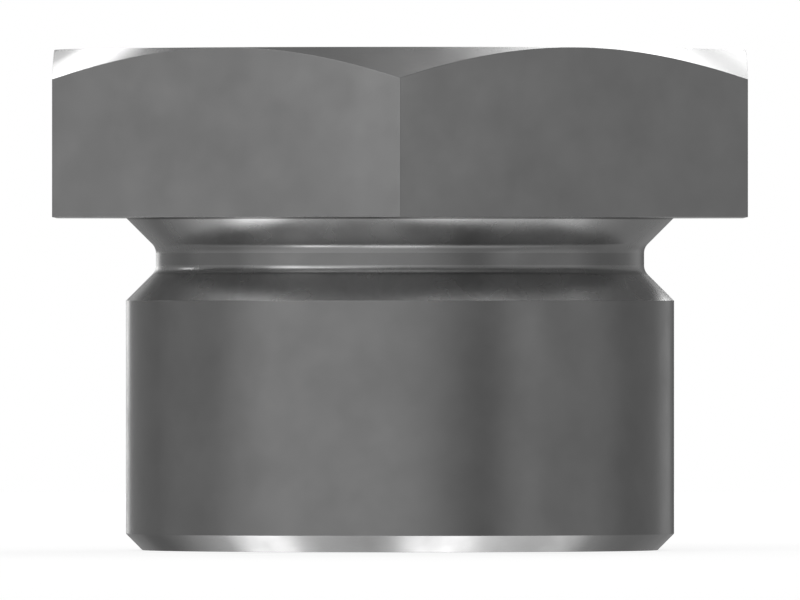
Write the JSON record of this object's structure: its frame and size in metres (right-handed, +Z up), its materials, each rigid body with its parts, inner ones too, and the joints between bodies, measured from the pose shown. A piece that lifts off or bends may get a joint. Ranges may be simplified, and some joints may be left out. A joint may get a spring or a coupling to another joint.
{
  "type": "threaded pipe plug",
  "caption": "Solid steel screw-in pipe plug with a chamfered hexagon head, a relief groove under it and a short parallel shank with a lead-in chamfer.",
  "frame": {"origin": "centre of the flat end of the shank, on which the plug stands", "axes": "+Z up the plug's axis from the shank's end to the top of the head; two flats of the hexagon face +X and -X, and two of its corners lie on +Y and -Y"},
  "size_m": [0.021, 0.0242, 0.0152],
  "materials": {
    "steel": "satin turned steel, plain grey"
  },
  "bodies": {
    "root": {"plug": "steel"}
  },
  "joints": []
}
